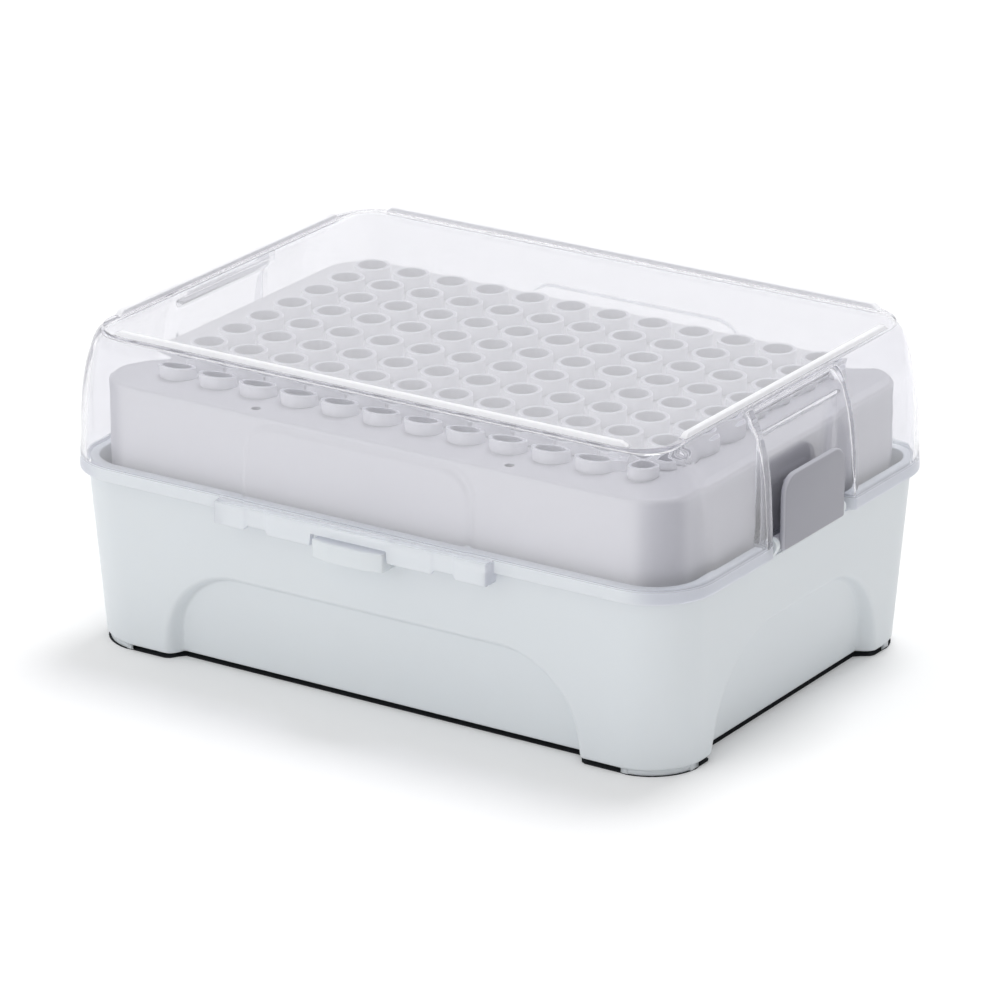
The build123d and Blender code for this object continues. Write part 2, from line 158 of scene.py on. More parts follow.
def clearPlastic(name, look):
    # clear polypropylene, polished mould: refracts at its edges, with a slight haze. Light for what it covers
    # passes straight through, a little dimmed, most by the skirt, and so does light that has been mirrored
    # inside the wall more than once. The skirt and the crests of the ribs are moulded matt, so they are milky
    material, tree = newMaterial(name)
    place = addNode(tree, "ShaderNodeTexCoord")
    axes = addNode(tree, "ShaderNodeSeparateXYZ", links=[("Vector", place, "Object")])
    outward = addNode(tree, "ShaderNodeMath", absolute, links=[(0, axes, "X")])
    skirt, crest, roof, side = (
        addNode(tree, "ShaderNodeMapRange", smooth,
                {"From Min": look[zone] * mm, "From Max": (look[zone] + look[zone + "Fade"]) * mm},
                [("Value", source, output)])
        for zone, source, output in (("skirt", axes, "Z"), ("crest", axes, "Z"), ("roof", axes, "Z"),
                                     ("side", outward, "Value")))
    matt = addNode(tree, "ShaderNodeMath", larger, links=[(0, skirt, "Result"), (1, crest, "Result")])
    rough = addNode(tree, "ShaderNodeMapRange",
                    inputs={"To Min": look["roughness"], "To Max": look["mattRoughness"]},
                    links=[("Value", matt, "Value")])
    wallClear = addNode(tree, "ShaderNodeMapRange",
                        inputs={"To Min": look["clear"], "To Max": look["sideClear"]},
                        links=[("Value", side, "Result")])
    skirtClear, crestClear = (
        addNode(tree, "ShaderNodeMapRange", inputs={"To Max": look[zone + "Clear"]},
                links=[("Value", amount, "Result"), ("To Min", wallClear, "Result")])
        for zone, amount in (("skirt", skirt), ("crest", crest)))
    clear = addNode(tree, "ShaderNodeMath", smaller,
                    links=[(0, skirtClear, "Result"), (1, crestClear, "Result")])

    # painted shade: the milky skirt is drawn darker on the short sides, where the normal's X is large
    facing = addNode(tree, "ShaderNodeSeparateXYZ", links=[("Vector", place, "Normal")])
    sideways = addNode(tree, "ShaderNodeMath", absolute, links=[(0, facing, "X")])
    turned = addNode(tree, "ShaderNodeMapRange", smooth,
                     {"From Min": look["turnStart"], "From Max": look["turnFull"]},
                     [("Value", sideways, "Value")])
    milkAndPaintedShade = addNode(tree, "ShaderNodeMix", colourMix,
                   {"A": linearColour(look["skirtColour"]), "B": linearColour(look["paintedSkirtSideShade"])},
                   [("Factor", turned, "Result")])
    tone = addNode(tree, "ShaderNodeMix", colourMix, {"A": linearColour(look["colour"])},
                   [("Factor", skirt, "Result"), ("B", milkAndPaintedShade, "Result")])
    shell = addNode(tree, "ShaderNodeBsdfPrincipled", inputs={"IOR": look["ior"]},
                    links=[("Base Color", tone, "Result"), ("Roughness", rough, "Result"),
                           ("Transmission Weight", clear, "Value")])

    shade = addNode(tree, "ShaderNodeMix", colourMix,
                    {"A": linearColour(look["wallShade"]), "B": linearColour(look["sideShade"])},
                    [("Factor", side, "Result")])
    for zone, amount in (("roof", roof), ("skirt", skirt)):
        shade = addNode(tree, "ShaderNodeMix", colourMix, {"B": linearColour(look[zone + "Shade"])},
                        [("Factor", amount, "Result"), ("A", shade, "Result")])
    window = addNode(tree, "ShaderNodeBsdfTransparent", links=[("Color", shade, "Result")])
    path = addNode(tree, "ShaderNodeLightPath")
    covered = addNode(tree, "ShaderNodeMath", larger,
                      links=[(0, path, "Is Shadow Ray"), (1, path, "Is Diffuse Ray")])
    caught = addNode(tree, "ShaderNodeMath", {"operation": "GREATER_THAN"}, {1: look["bounces"]},
                     [(0, path, "Glossy Depth")])
    straight = addNode(tree, "ShaderNodeMath", larger, links=[(0, covered, "Value"), (1, caught, "Value")])
    mixed = addNode(tree, "ShaderNodeMixShader",
                    links=[("Fac", straight, "Value"), (1, shell, "BSDF"), (2, window, "BSDF")])
    addNode(tree, "ShaderNodeOutputMaterial", links=[("Surface", mixed, "Shader")])
    return material


tipLook = dict(colour="FAFAFC", deep="CFCFD4", pitch=9.0, bore=3.3, collar=3.5, roughness=0.35, ior=1.49,
               glow=0.3, scatter=2.0, scatterTint=(1.0, 1.0, 1.0))


def tipPlastic(name, look):
    # natural polypropylene, thin-walled and slightly see-through; a long bore gives back little light, so its
    # wall is given a painted shade, greyer than the collar. The bores are told by their distance from the
    # nearest rack place
    material, tree = newMaterial(name)
    place = addNode(tree, "ShaderNodeTexCoord")
    perCell = 1 / (look["pitch"] * mm)
    cells = addNode(tree, "ShaderNodeVectorMath", product, {1: (perCell, perCell, 0)}, [(0, place, "Object")])
    inCell = addNode(tree, "ShaderNodeVectorMath", {"operation": "FRACTION"}, links=[(0, cells, "Vector")])
    offset = addNode(tree, "ShaderNodeVectorMath", {"operation": "SUBTRACT"}, {1: (0.5, 0.5, 0)},
                     [(0, inCell, "Vector")])
    away = addNode(tree, "ShaderNodeVectorMath", {"operation": "LENGTH"}, links=[(0, offset, "Vector")])
    bore = addNode(tree, "ShaderNodeMapRange", smooth,
                   {"From Min": look["collar"] / look["pitch"], "From Max": look["bore"] / look["pitch"]},
                   [("Value", away, "Value")])
    tone = addNode(tree, "ShaderNodeMix", colourMix,
                   {"A": linearColour(look["colour"]), "B": linearColour(look["deep"])},
                   [("Factor", bore, "Result")])
    shader = addNode(tree, "ShaderNodeBsdfPrincipled",
                     inputs={"Roughness": look["roughness"], "IOR": look["ior"],
                             "Subsurface Weight": look["glow"], "Subsurface Scale": look["scatter"] * mm,
                             "Subsurface Radius": look["scatterTint"]},
                     links=[("Base Color", tone, "Result")])
    addNode(tree, "ShaderNodeOutputMaterial", links=[("Surface", shader, "BSDF")])
    return material


baseMaterial = mouldedPlastic("paleBluePolypropylene", plastics["base"])
trayMaterial = mouldedPlastic("greyPolypropyleneTray", plastics["tray"])
latchMaterial = mouldedPlastic("greyPolypropyleneLatch", plastics["latch"])
tipMaterial = tipPlastic("naturalPolypropyleneTip", tipLook)
lidMaterial = clearPlastic("clearPolypropyleneLid", lidLook)
print("materials made")


def dress(name, material):
    piece = nodes[name]
    piece.data.materials.clear()
    piece.data.materials.append(material)


def addObject(name, data):
    item = bpy.data.objects.new(name, data)
    bpy.context.scene.collection.objects.link(item)
    return item


def smoothStep(low, high, value):
    # 0 below low, 1 above high, and an S-shaped cubic between
    t = np.clip((value - low) / (high - low), 0, 1)
    return t * t * (3 - 2 * t)


def softLine(points, reach, steps=4):
    # the polyline with each inner corner replaced by a parabola that starts and ends `reach` from it
    points = np.asarray(points, float)
    line = [points[:1]]
    t = np.linspace(0, 1, steps + 1)[:, None]
    for before, corner, after in zip(points[:-2], points[1:-1], points[2:]):
        start, stop = (corner + (end - corner) * min(reach / np.linalg.norm((corner - end)[:2]), 0.45)
                       for end in (before, after))
        line.append((1 - t) ** 2 * start + 2 * t * (1 - t) * corner + t ** 2 * stop)
    line.append(points[-1:])
    return np.vstack(line)


def arc(centre, radius, start, stop, steps):
    # points on a circle from one angle to another, in degrees
    turn = np.radians(np.linspace(start, stop, steps))
    return np.stack([centre[0] + radius * np.cos(turn), centre[1] + radius * np.sin(turn)], 1)


def mirrored(outline, signX, signY=1):
    # the same outline on another side of the box, still anticlockwise
    outline = outline * (signX, signY)
    return outline[::-1] if signX * signY < 0 else outline


def ringStations(longEnd, shortEnd, longStops, shortStops, cornerSteps):
    # stations round a rounded rectangle, anticlockwise from the right side; each has the outward direction
    # there, the side or corner that it is on, its place along a side, and its angle past the nearer side
    longSide = np.unique(np.concatenate([-np.array(longStops), longStops, [-longEnd, longEnd]]))
    shortSide = np.unique(np.concatenate([-np.array(shortStops), shortStops, [-shortEnd, shortEnd]]))
    turn = np.linspace(0, 90, cornerSteps + 1)[1:-1]
    # columns: angle, place along, on a short side, on a long side, angle past the side, near a short side
    parts = []
    sides = [(shortSide, 0), (-longSide, 1), (-shortSide, 0), (longSide, 1)]
    for quarter, (along, isLong) in enumerate(sides):
        straight, none, swing = np.ones(len(along)), 0 * turn, np.minimum(turn, 90 - turn)
        angle = 90.0 * quarter
        nearShort = (turn <= 45) == (quarter % 2 == 0)
        parts.append(np.stack([angle * straight, along, straight * (1 - isLong), straight * isLong,
                               0 * along, straight * (1 - isLong)], 1))
        parts.append(np.stack([angle + turn, none, none, none, swing, nearShort], 1))
    angle, along, onShort, onLong, swing, nearShort = np.vstack(parts).T
    out = np.radians(angle)
    onShort, onLong, nearShort = onShort > 0, onLong > 0, nearShort > 0
    return dict(nx=np.cos(out).round(12), ny=np.sin(out).round(12), along=along, swing=swing,
                onShort=onShort, onLong=onLong, onCorner=~onShort & ~onLong, nearShort=nearShort,
                longEnd=longEnd, shortEnd=shortEnd)


def ringPoints(ring, halfX, halfY, corner, height, push=0.0, hold=30.0):
    # each level is a rounded rectangle: a corner centre plus the corner radius along the outward direction,
    # pushed out by `push`; stations within `hold` of a side's middle stay, the others stretch to its end
    halfX, halfY, corner = (np.asarray(v, float).reshape(-1, 1) for v in (halfX, halfY, corner))
    endX, endY = halfX - corner, halfY - corner
    size, sign = np.abs(ring["along"]), np.sign(ring["along"])
    longShift = sign * np.clip((size - hold) / (ring["longEnd"] - hold), 0, 1)
    shortShift = sign * np.clip((size - hold) / (ring["shortEnd"] - hold), 0, 1)
    centreX = np.where(ring["onLong"], ring["along"] + longShift * (endX - ring["longEnd"]),
                       np.where(ring["nx"] > 0, 1, -1) * endX)
    centreY = np.where(ring["onShort"], ring["along"] + shortShift * (endY - ring["shortEnd"]),
                       np.where(ring["ny"] > 0, 1, -1) * endY)
    out = corner + push
    height = np.broadcast_to(height, np.broadcast_shapes(np.shape(height), centreX.shape))
    return np.stack(np.broadcast_arrays(centreX + out * ring["nx"], centreY + out * ring["ny"], height), -1)


def closedLoops(levels, inwards=False):
    # levels x stations x 3 to vertices and faces: quads between levels, and a flat face over each end
    count, stations = levels.shape[:2]
    index = np.arange(count * stations).reshape(count, stations)
    following = np.roll(index, -1, axis=1)
    quads = np.stack([index[:-1], index[1:], following[1:], following[:-1]], -1).reshape(-1, 4)
    ends = [index[0], index[-1][::-1]]
    if inwards:
        quads, ends = quads[:, ::-1], [end[::-1] for end in ends]
    return levels.reshape(-1, 3), quads.tolist() + [end.tolist() for end in ends]


def prism(outline, axis, low, high, soft):
    # an anticlockwise outline carried along an axis, drawn in by a quarter circle at both ends
    outline = np.asarray(outline, float)
    tangent = np.roll(outline, -1, axis=0) - np.roll(outline, 1, axis=0)
    tangent /= np.linalg.norm(tangent, axis=1, keepdims=True)
    inner = np.stack([-tangent[:, 1], tangent[:, 0]], 1)
    turn = np.radians([0, 22, 45, 68, 90])
    climb, draw = soft * (1 - np.cos(turn)), soft * (1 - np.sin(turn))
    place = np.concatenate([low + climb, high - climb[::-1]])
    draw = np.concatenate([draw, draw[::-1]])
    flat = outline[None] + inner[None] * draw[:, None, None]
    levels = np.zeros((len(place), len(outline), 3))
    other = [k for k in range(3) if k != axis]
    levels[..., axis] = place[:, None]
    levels[..., other[0]], levels[..., other[1]] = flat[..., 0], flat[..., 1]
    return closedLoops(levels, inwards=axis != 1)


def makePiece(name, shells, material, body, replaced):
    # joins closed shells, given in millimetres, into one smooth-shaded piece on a body
    verts, faces, first = [], [], 0
    for shellVerts, shellFaces in shells:
        verts.append(shellVerts)
        faces += [[first + corner for corner in face] for face in shellFaces]
        first += len(shellVerts)
    mesh = bpy.data.meshes.new(name)
    mesh.from_pydata((np.vstack(verts) * mm).tolist(), [], faces)
    mesh.polygons.foreach_set("use_smooth", np.ones(len(mesh.polygons), bool))
    mesh.materials.append(material)
    piece = addObject(name, mesh)
    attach(piece, body)
    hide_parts(replaced)
    print(name, "made:", len(mesh.polygons), "faces")


# from here on sizes are in mm. Each axis that a piece turns on is given by its two other coordinates
pivots = dict(hinge=(49.0, 31.5), latch=(65.0, 35.5))

baseSizes = dict(
    footX=63.7, footY=43.5, shoulderX=65.5, shoulderY=45.8, innerX=62.8, innerY=43.0,
    corner=10.6, innerCorner=3.0, foot=1.0, shoulder=34.0, edge=0.5,
    rimGap=16.33, rimGapIn=0.25, rimGapOut=0.1, scoop=11.1, scoopSoft=0.15, scoopZ=33.2, scoopLean=0.5,
    scoopFrom=33,
    # mesh stations and levels: fine over the arches, coarse elsewhere
    straightX=54.9, straightY=35.2, cornerSteps=16, fineAlong=0.45, fineHeight=0.3, fineTop=22.3,
    coarseLong=[0, 5, 10, 15, 50, 52.5],
    coarseShort=[0, 4, 8, 10.5, 10.9, 11.1, 11.3, 12, 16.1, 16.25, 16.35, 16.5, 34],
    coarseHeights=[23, 26, 29, 32, 33, 33.4],
    # rise and inset under the foot, then height and half length over the rim and down to the floor inside
    underside=[(0, 6), (0, 4.2), (0, 0.5), (0.15, 0.15)],
    rim=[(33.5, 65.47), (34.0, 65.5), (34.0, 65.2), (36.5, 65.2), (36.5, 63.4), (34.0, 63.4), (30.0, 63.3)],
    rimSoft=0.35,
    inside=[(26.0, 63.2), (24.0, 63.1), (22.5, 63.0), (21.0, 62.9), (19.0, 62.8), (16.0, 62.7),
            (12.0, 62.5), (8.0, 62.3), (4.0, 62.0), (2.5, 61.9), (2.5, 57.0)])
longArch = dict(foot=47.0, top=43.2, rise=19.0, round=14.5, footDepth=3.0, topDepth=1.3, slope=0.8)
shortArch = dict(foot=30.0, top=25.8, rise=20.8, round=15.0, footDepth=3.0, topDepth=1.3, slope=0.8)
archBack = dict(wider=2, deeper=0.2)    # the inner side of an arch against its outer side

footPad = dict(x=63.1, y=42.9, corner=10.0, innerX=54.5, innerY=35.4, high=1.6, soft=0.15)
# catch tab, seen from above: a bar with slanted ends
catchTab = dict(low=30.3, high=33.9, soft=0.35,
                outline=[(-7.6, -45.0), (-7.6, -50.2), (-7.2, -50.4), (-3.9, -51.15), (-3.4, -51.2),
                         (3.4, -51.2), (3.9, -51.15), (7.2, -50.4), (7.6, -50.2), (7.6, -45.0)])
hingeEar = dict(round=2.19, half=1.25, soft=0.25, places=(-42.55, -27.45, 27.45, 42.55),
                root=[(45.3, 33.6), (44.6, 33.6), (44.6, 27.6), (45.4, 27.4)])
latchEar = dict(round=1.4, half=0.7, soft=0.15, places=(-11.8, 11.8), root=[(63.8, 33.5), (65.3, 33.2)])


def archDepth(arch, along, height):
    # how far the wall steps in: a depth that fades with height, inside a trapezium with rounded upper
    # corners. The distance inside its outline gives a parabola down to the recess floor, so that its outer
    # edge is soft and its inner one crisp
    lean = (arch["foot"] - arch["top"]) / arch["rise"]
    side = (np.abs(along) - arch["foot"] + lean * (height - baseSizes["foot"])) / math.hypot(1, lean)
    roof = height - baseSizes["foot"] - arch["rise"]
    sideIn, roofIn = side + arch["round"], roof + arch["round"]
    distance = (np.hypot(np.maximum(sideIn, 0), np.maximum(roofIn, 0))
                + np.minimum(np.maximum(sideIn, roofIn), 0) - arch["round"])
    share = np.clip((height - baseSizes["foot"]) / arch["rise"], 0, 1)
    depth = arch["footDepth"] + (arch["topDepth"] - arch["footDepth"]) * share
    return depth * np.clip(-distance / (arch["slope"] * depth), 0, 1) ** 2


def archPress(ring, height, wider=0, deeper=0):
    # the depth of the long arch on the long sides, of the short arch on the short sides, and 0 at the corners
    longPress, shortPress = (
        archDepth(dict(arch, foot=arch["foot"] + wider, top=arch["top"] + wider, rise=arch["rise"] + wider,
                       footDepth=arch["footDepth"] + deeper, topDepth=arch["topDepth"] + deeper),
                  ring["along"], height)
        for arch in (longArch, shortArch))
    return np.where(ring["onLong"], longPress, np.where(ring["onShort"], shortPress, 0.0))


def baseWall():
    # one closed skin of rounded rectangles: under the foot, up the outer wall with its straight draft, over
    # the shoulder and the rim, and down the inner wall to the floor
    size = baseSizes
    longStops = np.concatenate([size["coarseLong"], np.arange(19, 48.6, size["fineAlong"])])
    shortStops = np.concatenate([size["coarseShort"], np.arange(12.6, 33, size["fineAlong"])])
    ring = ringStations(size["straightX"], size["straightY"], longStops, shortStops, size["cornerSteps"])
    below, inside = np.array(size["underside"]), np.array(size["inside"])
    wallHeights = np.concatenate([np.arange(size["foot"] + size["edge"], size["fineTop"], size["fineHeight"]),
                                  size["coarseHeights"]])
    rim = softLine(size["rim"], size["rimSoft"])
    belowX = size["footX"] - below[:, 1]
    share = (wallHeights - size["foot"]) / (size["shoulder"] - size["foot"])
    wallX = size["footX"] + (size["shoulderX"] - size["footX"]) * share
    wallY = size["footY"] + (size["shoulderY"] - size["footY"]) * share
    height = np.concatenate([size["foot"] + below[:, 0], wallHeights, rim[:, 0], inside[:, 0]])
    halfX = np.concatenate([belowX, wallX, rim[:, 1], inside[:, 1]])
    halfY = np.concatenate([belowX - size["footX"] + size["footY"], wallY,
                            rim[:, 1] - size["shoulderX"] + size["shoulderY"],
                            inside[:, 1] - size["innerX"] + size["innerY"]])
    level = np.arange(len(height))
    isOuter = level < len(below) + len(wallHeights)
    isRim = ~isOuter & (level < len(height) - len(inside))
    corner = np.where(isOuter, size["corner"],
                      np.minimum(size["corner"], size["corner"] - (size["shoulderX"] - halfX)))
    corner = np.maximum(corner, size["innerCorner"])
    corner[:2] = size["corner"] - below[:2, 1]

    # the rim drops to the shoulder behind each side latch, and the shoulder is scooped under it
    across, tall = np.abs(ring["along"]), height[:, None]
    gap, scoop, soft = size["rimGap"], size["scoop"], size["scoopSoft"]
    kept = np.where(ring["onShort"], smoothStep(gap - size["rimGapIn"], gap + size["rimGapOut"], across), 1.0)
    scooped = np.where(ring["onShort"], 1 - smoothStep(scoop - soft, scoop + soft, across), 0.0)
    heights = np.where(tall > size["shoulder"], size["shoulder"] + (tall - size["shoulder"]) * kept, tall)
    lowered = np.minimum(heights, size["scoopZ"] + size["scoopLean"] * (tall - size["coarseHeights"][-1]))
    inScoop = isRim[:, None] & (scooped > 0) & (heights > size["scoopFrom"])
    heights = np.where(inScoop, heights + (lowered - heights) * scooped, heights)

    # the arches press in the outer wall, and a little wider and deeper the inner one, but not the end faces
    behind = archPress(ring, tall, **archBack)
    behind[-1] = 0
    press = np.where(isOuter[:, None], archPress(ring, tall), behind)
    press[:2] = 0
    return closedLoops(ringPoints(ring, halfX, halfY, corner, heights, -press), inwards=True)


def makeBase():
    # the wall, and closed prisms that overlap it: corner pads, catch tab, hinge ears and latch ears
    shells = [baseWall()]
    pad, ear = footPad, hingeEar
    centre = (pad["x"] - pad["corner"], pad["y"] - pad["corner"])
    quarter = np.vstack([arc(centre, pad["corner"], 0, 90, 12), [(pad["innerX"], pad["y"]),
                         (pad["innerX"], pad["innerY"]), (pad["x"], pad["innerY"])]])
    for signX in (-1, 1):
        for signY in (-1, 1):
            shells.append(prism(mirrored(quarter, signX, signY), 2, 0.0, pad["high"], pad["soft"]))
    shells.append(prism(catchTab["outline"], 2, catchTab["low"], catchTab["high"], catchTab["soft"]))
    eye = np.vstack([arc(pivots["hinge"], ear["round"], -60, 75, 12), ear["root"]])
    for x in ear["places"]:
        shells.append(prism(eye, 0, x - ear["half"], x + ear["half"], ear["soft"]))
    ear = latchEar
    eye = np.vstack([arc(pivots["latch"], ear["round"], -25, 205, 14), ear["root"]])
    for signX in (-1, 1):
        for y in ear["places"]:
            shells.append(prism(mirrored(eye, signX), 1, y - ear["half"], y + ear["half"], ear["soft"]))
    makePiece("baseShell", shells, baseMaterial, "base", "base")


lidSizes = dict(
    x=67.1, y=47.7, corner=12.5, edge=34.2, hangFrom=36.2, top=61.8, wall=1.2, topThickness=1.4,
    ceiling=60.4, ceilingInset=1.0, plainBelow=40, straightX=54.6, straightY=35.2, topHold=26, cornerSteps=18,
    rimRise=0.4, rimSoft=0.35, ribX=60.5, ribY=44.5, ribCorner=8.7, ribSoft=0.3, topInsets=[-8, -3],
    # the ribs fade out between two angles past a long side, and between two places along a short one
    ribTurn=(12, 19), ribEnd=(34.5, 35.1),
    # place across the stacking rib and height over the flat top
    rib=[(-1.5, 0), (-0.74, 0), (-0.62, 1.0), (0.62, 1.0), (0.72, 0), (0.95, 0)],
    # height, inset along the long axis, inset along the short axis
    profile=[(34.2, 0, 0), (48.4, 0.56, 0.35), (54.1, 1.6, 0.8), (56.5, 2.4, 1.1),
             (60.2, 3.8, 1.6), (61.8, 5.6, 2.5)],
    # heights of the levels, down the outer wall and up the inner one
    shoulderLevels=[61.78, 61.7, 61.55, 61.3, 61.1, 60.9, 60.6, 60.2, 59.7, 59.2, 58.8, 58.4, 58.0,
                    57.6, 57.2, 56.8, 56.4, 55.8, 55, 54, 53],
    skirtLevels=[43.5, 41.5, 39.5, 38, 37.1, 36.85, 36.72, 36.6, 36.48, 36.36, 36.2, 35.4, 34.8],
    innerLevels=[34.8, 35.0, 35.2, 35.32, 35.4, 35.5, 35.65, 36.2, 37.0, 39.0, 42, 46, 50, 52.7, 54, 55.1,
                 55.8, 56.4, 57.0, 57.6, 58.2, 58.8, 59.4, 59.8, 60.1, 60.3, 60.39])
lidPanel = dict(halfLength=24.0, top=51.7, round=6.0, face=48.1, soft=0.9)
lidChannel = dict(floor=63.3, ledge=61.6, ledgeLow=57.0, ledgeHigh=58.6, half=13.5, mouth=14.83,
                  mouthSoft=0.1, mouthLean=0.95, roofStart=60.8, roofEnd=61.3, innerStart=59.4, innerEnd=60.5)
lidFlap = dict(half=29.3, reach=2.3, top=36.6, foot=32.2, cutHalf=8.2, cutZ=34.5,
               topStart=0.18, topEnd=0.12, soft=0.15,
               groove=20.2, grooveHalf=2.25, grooveDepth=0.25, grooveSoft=0.2, notch=0.8)
hingeArm = dict(round=2.19, half=6.0, soft=0.3, places=(-35.0, 35.0),
                pin=1.1, pinStart=6.02, pinEnd=8.8, pinSoft=0.15,
                root=[(48.6, 36.5), (47.75, 38.5), (47.75, 34.25), (46.9, 34.1)])


def wallInsets(height):
    # insets of the outer wall at a height: straight runs of the profile, their corners cut three times over
    line = np.array(lidSizes["profile"])
    for _ in range(3):
        cut = np.empty((2 * len(line) - 2, 3))
        cut[::2] = 0.75 * line[:-1] + 0.25 * line[1:]
        cut[1::2] = 0.25 * line[:-1] + 0.75 * line[1:]
        line = np.vstack([line[:1], cut, line[-1:]])
    return np.interp(height, line[:, 0], line[:, 1]), np.interp(height, line[:, 0], line[:, 2])


def panelMask(along, height):
    # 1 inside a rectangle with two rounded upper corners, 0 outside, with an S-shaped edge
    side = np.abs(along) - lidPanel["halfLength"] + lidPanel["round"]
    roof = height - lidPanel["top"] + lidPanel["round"]
    distance = np.hypot(np.maximum(side, 0), np.maximum(roof, 0)) + np.minimum(np.maximum(side, roof), 0)
    distance = distance - lidPanel["round"]
    return smoothStep(-lidPanel["soft"] / 2, lidPanel["soft"] / 2, -distance)


def channelDepth(ring, level, reach, grow):
    # how far a short wall steps in: from its reach to the channel's floor, which ramps to a ledge, and back
    # out at the roof and past the mouth. On the inner wall the channel is larger by its thickness, `grow`
    size = lidChannel
    climb = smoothStep(size["ledgeLow"] - grow, size["ledgeHigh"] - grow / 2, level)
    depth = np.maximum(reach - (size["floor"] - grow - (size["floor"] - size["ledge"]) * climb), 0)
    underRoof = 1 - smoothStep(np.where(grow > 0, size["innerStart"], size["roofStart"]),
                               np.where(grow > 0, size["innerEnd"], size["roofEnd"]), level)
    slant, soft = size["mouthLean"] * grow, size["mouthSoft"]
    opening = 1 - smoothStep(size["half"] + slant - soft, size["mouth"] + slant + soft, np.abs(ring["along"]))
    return np.where(ring["onShort"], depth * underRoof * opening, 0.0)


def lidTop(ring):
    # the flat top with its stacking ribs: a flat-topped bump across the levels, faded out past each side
    size = lidSizes
    rib = softLine(size["rib"], size["ribSoft"])
    pastLong = np.where(ring["nearShort"], 0.0, 1 - smoothStep(*size["ribTurn"], ring["swing"]))
    alongShort = 1 - smoothStep(*size["ribEnd"], np.abs(ring["along"]))
    show = np.where(ring["onCorner"], pastLong, np.where(ring["onShort"], alongShort, 1.0))
    inward = np.concatenate([size["topInsets"], rib[:, 0]])    # two levels inside the ribs, then across them
    bump = np.concatenate([[0, 0], rib[:, 1]])
    return ringPoints(ring, size["ribX"] + inward, size["ribY"] + inward, size["ribCorner"] + inward,
                      size["top"] + bump[:, None] * show, hold=size["topHold"])


def lidWall(ring):
    # one skin of rounded rectangles, from the shoulder down the outer wall, round the lower edge and up the
    # inner wall to the ceiling; latch channels, raised panels and the front flap push its stations in or out
    size, flap = lidSizes, lidFlap
    across = np.abs(ring["along"])
    onFront = ring["onLong"] & (ring["ny"] < 0)
    wallLevels = np.concatenate([size["shoulderLevels"], np.arange(52.4, 44.9, -0.45), size["skirtLevels"]])
    innerLevels = np.array(size["innerLevels"])
    edge, wall = size["edge"], size["wall"]
    above = edge + size["rimRise"]
    rim = softLine([(above, 0.0), (edge, 0.0), (edge, wall), (above, wall)], size["rimSoft"])
    insetX, insetY = wallInsets(wallLevels)
    dropX, dropY = (drop * (innerLevels > size["plainBelow"])
                    for drop in wallInsets(innerLevels + size["topThickness"]))
    levels = np.concatenate([wallLevels, rim[:, 0], innerLevels])[:, None]
    inX = np.concatenate([insetX, rim[:, 1], wall + dropX])[:, None]
    inY = np.concatenate([insetY, rim[:, 1], wall + dropY])[:, None]
    isInner = np.arange(len(levels))[:, None] >= len(wallLevels) + len(rim) // 2
    grow = np.where(isInner, wall, 0.0)
    push = -channelDepth(ring, levels, size["x"] - inX, grow)

    # raised panel on each long wall, outside only
    raised = (lidPanel["face"] - size["y"] + inY) * panelMask(ring["along"], levels)
    raised = np.where(ring["onLong"] & ~isInner, raised, 0.0)

    # front flap: the wall steps out and hangs lower, with a cut-out, two grooves and their notches
    soft, half, top = flap["soft"], flap["half"] - grow, flap["top"] - grow
    stepOut = ((1 - smoothStep(half - soft, half + soft, across))
               * (1 - smoothStep(top - flap["topStart"], top + flap["topEnd"], levels)))
    groove = smoothStep(-flap["grooveSoft"], flap["grooveSoft"],
                        flap["grooveHalf"] - np.abs(across - flap["groove"]))
    reach = flap["reach"] - np.where(isInner, 0.0, groove * flap["grooveDepth"])
    push = push + raised + np.where(onFront, (reach - raised) * stepOut, 0.0)
    hang = 1 - smoothStep(flap["half"] - soft, flap["half"] + soft, across)
    cut = 1 - smoothStep(flap["cutHalf"] - soft, flap["cutHalf"] + soft, across)
    hanging = hang * (edge - flap["foot"]) - cut * (flap["cutZ"] - flap["foot"]) - groove * flap["notch"]
    lowEdge = np.where(onFront, edge - hanging, edge)
    hangFrom = size["hangFrom"]    # levels below this height are stretched down to the lower edge
    heights = np.where(levels < hangFrom,
                       hangFrom - (hangFrom - levels) * (hangFrom - lowEdge) / (hangFrom - edge), levels)

    halfX, halfY = size["x"] - inX, size["y"] - inY
    corner = np.where(isInner, size["corner"] - inX, size["corner"] - inX / 2)
    step = size["ceilingInset"]
    ceiling = ringPoints(ring, halfX[-1] - step, halfY[-1] - step, corner[-1] - step,
                         np.full((1, 1), size["ceiling"]), hold=size["topHold"])
    return np.concatenate([ringPoints(ring, halfX, halfY, corner, heights, push), ceiling])


